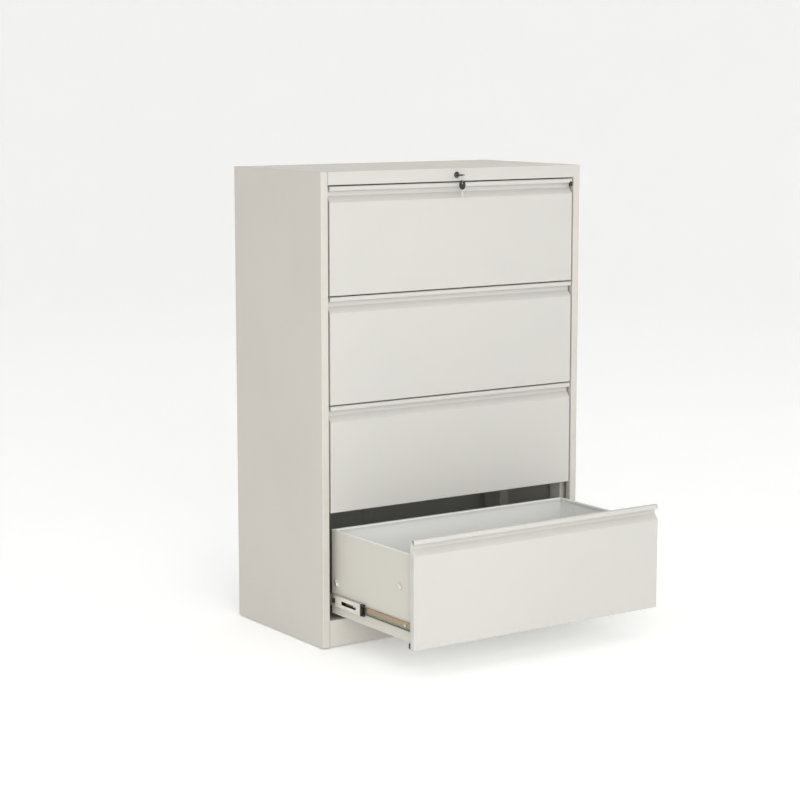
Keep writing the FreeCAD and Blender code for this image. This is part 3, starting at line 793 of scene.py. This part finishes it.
class Finishes:
    """Every material of the cabinet, by the slot that it dresses."""

    def __init__(self, lock_axis: tuple[float, float]) -> None:
        """Builds the materials.

        Args:
            lock_axis: X and Z of the lock's axis.
        """
        plans = {
            # shell_paint is drawn warmer than front_paint, though they are one paint: the warmth is a
            # painted reflection of warm surroundings on the side panels.
            "shell_paint": BakedPaint((0.570, 0.545, 0.495), (0.555, 0.530, 0.480), (0.65, 0.63, 0.59)),
            "front_paint": BakedPaint((0.560, 0.543, 0.515), (0.550, 0.535, 0.508), (0.65, 0.64, 0.62)),
            # inside_paint is drawn darker and greener than the shell, though it stands for the same paint:
            # this is painted shade for the cabinet's inside.
            "inside_paint": BakedPaint((0.42, 0.43, 0.39), (0.40, 0.41, 0.37), (0.48, 0.48, 0.45)),
            # box_paint: the drawer's inner faces are drawn much lighter than its outer faces of the same
            # paint; this is painted light for the drawer's inside, which the lamps leave in shade.
            "box_paint": BakedPaint(
                (0.82, 0.825, 0.80),
                (0.805, 0.81, 0.785),
                (0.84, 0.84, 0.83),
                painted_light_outer_tone=(0.585, 0.565, 0.505),
            ),
            "slide_zinc": PlatedSteel((0.72, 0.71, 0.65), (0.62, 0.62, 0.56), (0.82, 0.81, 0.76)),
            # slide_gold: the grey-green band low on each strip is painted shade.
            "slide_gold": PlatedSteel(
                (0.40, 0.30, 0.18),
                (0.36, 0.26, 0.19),
                (0.48, 0.42, 0.30),
                painted_shade_tone=(0.22, 0.26, 0.21),
                painted_shade_band=(0.1350, 0.1368),
                pitch=0.3025,
            ),
            "cage_plastic": MouldedPlastic((0.012, 0.012, 0.013), (0.05, 0.05, 0.05), 0.42),
            "lock_dark": TurnedMetal((0.10, 0.09, 0.08), lock_axis),
            "lock_zinc": PlatedSteel((0.70, 0.70, 0.67), (0.62, 0.63, 0.60), (0.80, 0.80, 0.78)),
            "key_steel": PlatedSteel((0.62, 0.61, 0.57), (0.55, 0.54, 0.50), (0.72, 0.71, 0.68)),
            "key_plastic": MouldedPlastic((0.010, 0.010, 0.011), (0.045, 0.045, 0.045), 0.30),
            "foot_plastic": MouldedPlastic((0.02, 0.02, 0.02), (0.07, 0.07, 0.07), 0.5),
            "clip_rubber": MouldedPlastic((0.012, 0.012, 0.012), (0.04, 0.04, 0.04), 0.6),
        }
        self.materials = {slot: plan.material(slot) for slot, plan in plans.items()}

    def dress_node(self, node: str, slot: str) -> None:
        """Gives a piece of the frame its finish.

        Args:
            node: The piece's name.
            slot: The slot that it takes.
        """
        piece = frame["nodes"][node]
        for place in piece.material_slots:
            place.material = self.materials[slot]

    def dress_piece(self, piece: bpy.types.Object, slot: str, body: str) -> None:
        """Gives an added piece its finish and the body that it moves with.

        Args:
            piece: The added piece.
            slot: The slot that it takes.
            body: The body that carries it.
        """
        piece.data.materials.clear()
        piece.data.materials.append(self.materials[slot])
        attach(piece, body)
        LOG.info("%s rides on %s", piece.name, body)


@dataclass
class DrawerDetails:
    """The small pieces on one drawer: slide rivet heads, plated catch studs, and black rubber bumpers whose
    black is painted shade.

    Attributes:
        number: The drawer's number, with 1 at the top.
        head_size: Width, height and depth of a rivet head.
        head_inset: From the head's rim to its raised middle.
        head_crown: The crown's share of the head's depth.
        rivet_backs: Distances of the slide rivets behind the front's plane.
        member_sheet: From the box's side to the face of the inner slide member.
        stud_places: Distance behind the front's plane, and height over the box's floor, of each stud.
        stud_size: Width, height and depth of a stud.
        stud_tilt: How far a stud leans.
        stud_inset: From a stud's rim to its raised middle.
        stud_sunk: The share of a stud's depth over which its middle stands clear of the side.
        shade_bumper_size: Width, depth and height of a bumper.
        shade_bumper_clearance: From the front's side edge to the bumper.
        shade_bumper_lift: From the front's lower edge to the bumper.
        shade_bumper_taper: How much a bumper narrows towards the back.
        shade_bumper_rounding: The rounding of its edges.
    """

    number: int
    head_size: Vector = Vector((0.0092, 0.0092, 0.0011))
    head_inset: float = 0.002
    head_crown: float = 0.35
    rivet_backs: tuple[float, ...] = (0.059, 0.306, 0.402)
    member_sheet: float = 0.0024
    stud_places: tuple[tuple[float, float], ...] = ((0.084, 0.145), (0.398, 0.090))
    stud_size: Vector = Vector((0.019, 0.0115, 0.0040))
    stud_tilt: float = math.radians(52.0)
    stud_inset: float = 0.0012
    stud_sunk: float = 0.4
    shade_bumper_size: Vector = Vector((0.011, 0.012, 0.017))
    shade_bumper_clearance: float = 0.0002
    shade_bumper_lift: float = 0.0006
    shade_bumper_taper: tuple[float, float, float] = (0.75, 1.0, 0.85)
    shade_bumper_rounding: float = 0.0012

    @property
    def body(self) -> str:
        """The body that carries the drawer's box."""
        return f"drawer_{self.number}"

    def rivet_heads(self) -> bpy.types.Object:
        """Bright domed heads on the rivets that hold the inner slide members.

        Returns:
            All the heads as one piece.
        """
        low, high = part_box(f"{self.body}_slide_inner")
        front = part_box(f"{self.body}_front")[0].y
        face_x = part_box(f"{self.body}_back")[0].x - self.member_sheet
        name = f"{self.body}_rivet_heads"
        heads = []
        for back in self.rivet_backs:
            centre = Vector((face_x - self.head_size.z / 2, front + back, (low.z + high.z) / 2))
            head = Workbench.oval(name, centre, self.head_size, Axis.X)
            Workbench.pick(head, lambda face: face.normal.x < -FACING)
            bpy.ops.mesh.inset(thickness=self.head_inset, depth=self.head_size.z * self.head_crown)
            Workbench.done()
            Workbench.round_edges(head, self.head_size.z * 0.3)
            heads.append(head)
        heads += [Workbench.copy_mirrored(piece) for piece in heads]
        return Workbench.joined(heads, name)

    def catch_studs(self) -> bpy.types.Object:
        """Plated oval studs on the raised marks of the drawer's sides.

        Returns:
            All the studs as one piece.
        """
        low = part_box(f"{self.body}_side_left")[0]
        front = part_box(f"{self.body}_front")[0].y
        name = f"{self.body}_catch_studs"
        studs = []
        for back, rise in self.stud_places:
            centre = Vector((low.x - self.stud_size.z * self.stud_sunk, front + back, low.z + rise))
            stud = Workbench.oval(name, centre, self.stud_size, Axis.X, self.stud_tilt)
            Workbench.pick(stud, lambda face: face.normal.x < -FACING)
            bpy.ops.mesh.inset(thickness=self.stud_inset, depth=self.stud_size.z * 0.2)
            Workbench.done()
            Workbench.round_edges(stud, self.stud_size.z * 0.45, 5)
            studs.append(stud)
        studs += [Workbench.copy_mirrored(piece) for piece in studs]
        return Workbench.joined(studs, name)

    def shade_bumpers(self) -> bpy.types.Object:
        """Black rubber bumpers behind the lower corners of the front, whose black is painted shade for the
        dark hollow there.

        Returns:
            Both bumpers as one piece.
        """
        low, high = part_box(f"{self.body}_front")
        name = f"{self.body}_bumpers"
        corner = Vector((low.x + self.shade_bumper_clearance, high.y, low.z + self.shade_bumper_lift))
        shade_bumper = Workbench.slab(name, corner, corner + self.shade_bumper_size)
        Workbench.pick(shade_bumper, lambda face: face.normal.y > FACING)
        bpy.ops.transform.resize(value=self.shade_bumper_taper)
        Workbench.done()
        Workbench.round_edges(shade_bumper, self.shade_bumper_rounding)
        return Workbench.joined([shade_bumper, Workbench.copy_mirrored(shade_bumper)], name)

    def build(self, finishes: Finishes) -> None:
        """Builds the drawer's details and dresses them.

        Args:
            finishes: The cabinet's materials.
        """
        finishes.dress_piece(self.rivet_heads(), "slide_zinc", self.body)
        finishes.dress_piece(self.catch_studs(), "slide_zinc", self.body)
        # The black rubber of the bumpers also stands in as painted shade for the hollow behind the front's
        # lower corners.
        finishes.dress_piece(self.shade_bumpers(), "clip_rubber", self.body)


@dataclass
class SpareKey:
    """The wire ring in the bow of the key, and the spare key that hangs from it.

    Attributes:
        ring_radius: From the ring's middle to the middle of its wire.
        wire_radius: Half the wire's thickness.
        hole_wall: From the key bow's outer edge to the hole for the ring.
        ring_gap: From the key's bow to the wire under it.
        ring_lean: How far the ring's middle stands in front of that hole's edge.
        ring_rise: How high the ring's top stands over that wire.
        bow_size: Width, depth and height of the spare key's bow.
        bow_hole: Width and height of the hole in it.
        bow_hole_wall: From its upper edge to the hole.
        bow_rounding: The rounding of its edges.
        blade_size: Width, depth and height of the spare key's blade.
        blade_root: How deep the blade sits in the bow.
        blade_rounding: The rounding of the blade's edges.
        notch_count: How many cuts the blade has.
        notch_depths: The depths that its cuts take in turn.
        notch_share: Half the width of a cut, as a share of their spacing.
        body: The body that carries it all.
    """

    ring_radius: float = 0.0097
    wire_radius: float = 0.0007
    hole_wall: float = 0.0029
    ring_gap: float = 0.0001
    ring_lean: float = 0.0014
    ring_rise: float = 0.0041
    bow_size: tuple[float, float, float] = (0.020, 0.004, 0.026)
    bow_hole: tuple[float, float] = (0.005, 0.008)
    bow_hole_wall: float = 0.0027
    bow_rounding: float = 0.0011
    blade_size: tuple[float, float, float] = (0.0072, 0.002, 0.020)
    blade_root: float = 0.0005
    blade_rounding: float = 0.0002
    notch_count: int = 4
    notch_depths: tuple[float, float] = (0.0012, 0.0019)
    notch_share: float = 0.28
    body: str = "key"

    @property
    def ring_centre(self) -> Vector:
        """The middle of the ring, which hangs from the hole in the key's bow."""
        low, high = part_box("key_bow")
        seat = low.z - self.ring_gap - self.wire_radius
        forward = low.y + self.hole_wall - self.ring_lean
        return Vector(((low.x + high.x) / 2, forward, seat + self.ring_rise - self.ring_radius))

    def ring(self) -> bpy.types.Object:
        """The wire ring, drawn as a bent tube.

        Returns:
            The ring.
        """
        Workbench.clear()
        bpy.ops.curve.primitive_bezier_circle_add(
            radius=self.ring_radius, location=self.ring_centre, rotation=(0.0, math.pi / 2, 0.0)
        )
        wire = bpy.context.object
        wire.data.bevel_depth = self.wire_radius
        wire.data.bevel_resolution = 3
        wire.data.resolution_u = 10
        bpy.ops.object.convert(target="MESH")
        piece = Workbench.settle(bpy.context.object, "key_ring")
        bpy.ops.object.shade_smooth()
        return piece

    def bow_top(self) -> Vector:
        """The middle of the top edge of the spare key's bow.

        Returns:
            The point.
        """
        centre = self.ring_centre
        hang = centre.z - self.ring_radius + self.wire_radius + self.bow_hole_wall
        return Vector((centre.x, centre.y, hang))

    def bow(self) -> bpy.types.Object:
        """The spare key's moulded bow, with a slot for the ring.

        Returns:
            The bow.
        """
        top = self.bow_top()
        wide, deep, tall = self.bow_size
        middle = top - Vector((0.0, 0.0, tall / 2))
        bow = Workbench.oval("spare_key_bow", middle, Vector((wide, tall, deep)), Axis.Y)
        hole_wide, hole_tall = self.bow_hole
        hole_top = top - Vector((0.0, 0.0, self.bow_hole_wall))
        punch = Workbench.slab(
            "punch",
            hole_top - Vector((hole_wide / 2, deep, hole_tall)),
            hole_top + Vector((hole_wide / 2, deep, 0.0)),
        )
        Workbench.punched(bow, punch)
        Workbench.round_edges(bow, self.bow_rounding)
        return bow

    def blade(self) -> bpy.types.Object:
        """The spare key's flat blade, with cuts along one edge.

        Returns:
            The blade.
        """
        wide, deep, tall = self.blade_size
        top = self.bow_top() - Vector((0.0, 0.0, self.bow_size[2] - self.blade_root))
        blade = Workbench.slab(
            "spare_key_blade",
            top - Vector((wide / 2, deep / 2, tall)),
            top + Vector((wide / 2, deep / 2, 0.0)),
        )
        step = tall / (self.notch_count + 1)
        for index in range(self.notch_count):
            depth = self.notch_depths[index % 2]
            place = top + Vector((wide / 2 - depth, 0.0, -step * (index + 1)))
            punch = Workbench.slab(
                "punch",
                place - Vector((0.0, deep, step * self.notch_share)),
                place + Vector((depth * 2, deep, step * self.notch_share)),
            )
            Workbench.punched(blade, punch)
        Workbench.round_edges(blade, self.blade_rounding, 2)
        return blade

    def build(self, finishes: Finishes) -> None:
        """Builds the ring and the spare key and dresses them.

        Args:
            finishes: The cabinet's materials.
        """
        finishes.dress_piece(self.ring(), "key_steel", self.body)
        finishes.dress_piece(self.bow(), "key_plastic", self.body)
        finishes.dress_piece(self.blade(), "key_steel", self.body)


@dataclass
class Studio:
    """The pale floor, the soft lights and the camera.

    Attributes:
        yaw: How far the camera is turned round the cabinet from its front, in degrees.
        pitch: How far it looks down, in degrees.
        distance: From the camera to the plane of the aim point.
        aim_height: Height of the aim point on the cabinet's axis.
        slide_right: How far the camera stands left of the aim line.
        slide_up: How far it stands below the aim line.
        lens: Focal length in millimetres.
        sensor_width: Width of the sensor in millimetres.
        floor_radius: Radius of the flat part of the floor.
        cove_radius: Radius of the curve at its rim.
        cove_steps: How many bands that curve has.
        sky_strength: Brightness of the even light from all round.
        light_height: Height on the cabinet's axis that the lights face.
        lights: Name, place, side length and power in watts of each soft light.
    """

    yaw: float = 34.308
    pitch: float = 8.681
    distance: float = 6.2312
    aim_height: float = 0.665
    slide_right: float = 0.02501
    slide_up: float = 0.02552
    lens: float = 94.77
    sensor_width: float = 36.0
    floor_radius: float = 9.0
    cove_radius: float = 6.0
    cove_steps: int = 8
    sky_strength: float = 0.74
    light_height: float = 0.6
    lights: tuple[tuple[str, tuple[float, float, float], float, float], ...] = (
        ("key", (-1.7, -4.7, 2.1), 2.6, 68.0),
        ("front", (-3.0, -5.2, 0.9), 2.4, 84.0),
        ("fill", (3.6, -3.4, 1.6), 2.4, 9.0),
    )

    def add_camera(self) -> None:
        """Places the camera at the view of the reference."""
        yaw = math.radians(self.yaw)
        pitch = math.radians(self.pitch)
        forward = Vector((
            math.sin(yaw) * math.cos(pitch),
            math.cos(yaw) * math.cos(pitch),
            -math.sin(pitch),
        ))
        right = Vector((math.cos(yaw), -math.sin(yaw), 0.0))
        up = right.cross(forward)
        place = Vector((0.0, 0.0, self.aim_height)) - forward * self.distance
        place -= right * self.slide_right + up * self.slide_up
        data = bpy.data.cameras.new("camera")
        data.lens = self.lens
        data.sensor_width = self.sensor_width
        camera = bpy.data.objects.new("camera", data)
        turn = Matrix((right, up, -forward)).transposed().to_4x4()
        camera.matrix_world = Matrix.Translation(place) @ turn
        bpy.context.scene.collection.objects.link(camera)
        bpy.context.scene.camera = camera

    def add_floor(self) -> None:
        """Adds a round seamless floor whose rim curves up on every side."""
        Workbench.clear()
        bpy.ops.mesh.primitive_circle_add(vertices=96, radius=self.floor_radius, fill_type="NGON")
        floor = Workbench.settle(bpy.context.object, "studio_floor")
        bpy.ops.object.mode_set(mode="EDIT")
        bpy.ops.mesh.select_all(action="SELECT")
        bpy.ops.mesh.region_to_loop()
        radius = self.floor_radius
        for step in range(self.cove_steps):
            angle = math.pi / 2 * (step + 0.5) / self.cove_steps
            length = self.cove_radius * math.pi / 2 / self.cove_steps
            rise = Vector((0.0, 0.0, length * math.sin(angle)))
            wider = (radius + length * math.cos(angle)) / radius
            radius *= wider
            bpy.ops.mesh.extrude_region_move(TRANSFORM_OT_translate={"value": rise})
            bpy.ops.transform.resize(value=(wider, wider, 1.0))
        Workbench.done()
        bpy.ops.object.shade_smooth()
        floor.data.materials.append(StudioFloor().material("studio_paper"))

    def add_light(self, name: str, place: Vector, target: Vector, size: float, power: float) -> None:
        """Adds one square soft light.

        Args:
            name: Its name.
            place: Where it hangs.
            target: What it faces.
            size: The length of its side.
            power: Its power in watts.
        """
        data = bpy.data.lights.new(name, "AREA")
        data.size = size
        data.energy = power
        light = bpy.data.objects.new(name, data)
        light.location = place
        light.rotation_mode = "QUATERNION"
        light.rotation_quaternion = (target - place).to_track_quat("-Z", "Y")
        bpy.context.scene.collection.objects.link(light)

    def add_lights(self) -> None:
        """Hangs the key light beside the camera, a low front light and a weak fill on the right."""
        target = Vector((0.0, 0.0, self.light_height))
        for name, place, size, power in self.lights:
            self.add_light(name, Vector(place), target, size, power)

    def add_sky(self) -> None:
        """Surrounds the set with an even pale light."""
        world = bpy.data.worlds.new("studio")
        world.use_nodes = True
        background = world.node_tree.nodes["Background"]
        background.inputs["Color"].default_value = (1.0, 1.0, 1.0, 1.0)
        background.inputs["Strength"].default_value = self.sky_strength
        bpy.context.scene.world = world

    def build(self) -> None:
        """Sets up the whole studio."""
        self.add_camera()
        self.add_floor()
        self.add_lights()
        self.add_sky()
        bpy.context.scene.view_settings.view_transform = "Standard"
        LOG.info("studio is set")


class Cabinet:
    """The whole cabinet: the frame's own pieces in their finishes, and the added details."""

    def __init__(self, drawer_numbers: Iterable[int]) -> None:
        """Plans the cabinet.

        Args:
            drawer_numbers: The drawers' numbers.
        """
        low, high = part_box("lock_barrel")
        self.finishes = Finishes(((low.x + high.x) / 2, (low.z + high.z) / 2))
        self.drawers = [DrawerDetails(number) for number in drawer_numbers]
        self.spare_key = SpareKey()

    def dress_frame(self) -> None:
        """Gives each piece of the frame the finish of its slot."""
        for entry in frame["record"]["subparts"]:
            self.finishes.dress_node(entry["node"], entry["material_slot"])
        LOG.info("%d pieces of the frame are dressed", len(frame["nodes"]))

    def build(self) -> None:
        """Dresses the frame and adds the details."""
        self.dress_frame()
        for details in (*self.drawers, self.spare_key):
            details.build(self.finishes)


def main() -> None:
    """Builds the cabinet and its studio."""
    logging.basicConfig(level=logging.INFO, format="%(message)s")
    Cabinet((1, 2, 3, 4)).build()
    Studio().build()


if __name__ == "__main__":
    main()
